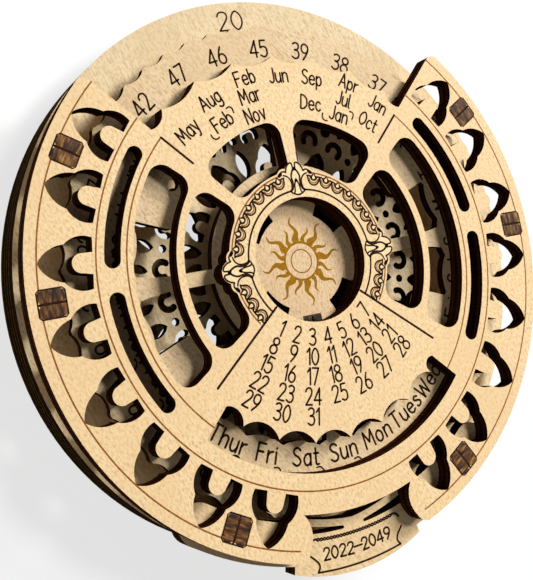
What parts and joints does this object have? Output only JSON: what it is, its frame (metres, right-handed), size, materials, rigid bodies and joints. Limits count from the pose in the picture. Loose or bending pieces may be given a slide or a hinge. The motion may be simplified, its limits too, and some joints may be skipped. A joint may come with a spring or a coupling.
{
  "type": "perpetual desk calendar",
  "caption": "Round laser-cut plywood perpetual calendar: a turning year and weekday wheel behind a pierced face with months and dates.",
  "frame": {"origin": "centre of the back panel's outer face, on the axis of the wheel", "axes": "+Z out of the face along the wheel axis, +Y towards the year window at the top of the face, +X to the right of the face"},
  "size_m": [0.18, 0.1853, 0.0304],
  "materials": {
    "face_plywood": "smooth sanded birch plywood with burnt laser-cut edges",
    "wheel_plywood": "smooth sanded birch plywood with burnt laser-cut edges",
    "tag_plywood": "smooth sanded birch plywood with burnt laser-cut edges",
    "sun_plywood": "smooth sanded birch plywood with an ochre engraving",
    "backdrop_plywood": "straight-grained birch plywood",
    "drum_plywood": "birch plywood with burnt laser-cut edges",
    "post_plywood": "end grain of birch plywood, browned by the laser"
  },
  "bodies": {
    "case": {"back_panel": "drum_plywood", "core_disc_lower": "drum_plywood", "core_disc_middle": "drum_plywood", "core_disc_upper": "drum_plywood", "drum_ring_lower": "drum_plywood", "drum_ring_middle": "drum_plywood", "drum_ring_upper": "drum_plywood", "face_backing": "face_plywood", "face_plate": "face_plywood", "hub_key_left": "post_plywood", "hub_key_right": "post_plywood", "hub_riser_lower": "drum_plywood", "hub_riser_upper": "drum_plywood", "post_left_lower_a": "post_plywood", "post_left_lower_b": "post_plywood", "post_left_middle_a": "post_plywood", "post_left_middle_b": "post_plywood", "post_left_upper_a": "post_plywood", "post_left_upper_b": "post_plywood", "post_right_lower_a": "post_plywood", "post_right_lower_b": "post_plywood", "post_right_middle_a": "post_plywood", "post_right_middle_b": "post_plywood", "post_right_upper_a": "post_plywood", "post_right_upper_b": "post_plywood", "sun_disc": "sun_plywood", "tag_front_ply": "tag_plywood", "tag_rear_ply": "tag_plywood", "year_backdrop": "backdrop_plywood"},
    "wheel": {"calendar_wheel": "wheel_plywood"}
  },
  "joints": [
    {"name": "wheel_turn", "type": "hinge", "parent": "case", "child": "wheel", "pos_m": [0, 0, 0.0226], "axis": [0, 0, 1], "continuous": true}
  ]
}
